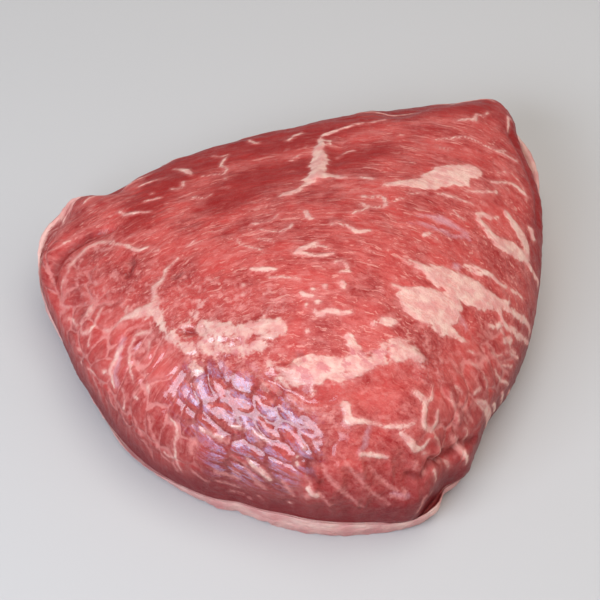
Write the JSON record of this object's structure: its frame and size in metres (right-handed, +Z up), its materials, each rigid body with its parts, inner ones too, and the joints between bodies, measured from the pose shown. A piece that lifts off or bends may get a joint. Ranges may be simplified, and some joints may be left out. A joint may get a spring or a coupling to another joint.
{
  "type": "raw rump cap",
  "caption": "Raw rump cap of beef: a thick, rounded triangle of marbled lean, lying on the layer of fat that covers its outer side.",
  "frame": {"origin": "on the surface it lies on, under the middle of its outline", "axes": "+Z up out of the surface, +X across the piece to its right-hand side, +Y to its broad back edge; the tall, narrow end faces -Y"},
  "size_m": [0.208, 0.2068, 0.072],
  "materials": {
    "lean": "wet, red, marbled with pale fat",
    "fat": "moist, pale pink"
  },
  "bodies": {
    "root": {"lean": "lean", "fat_cap": "fat"}
  },
  "joints": []
}
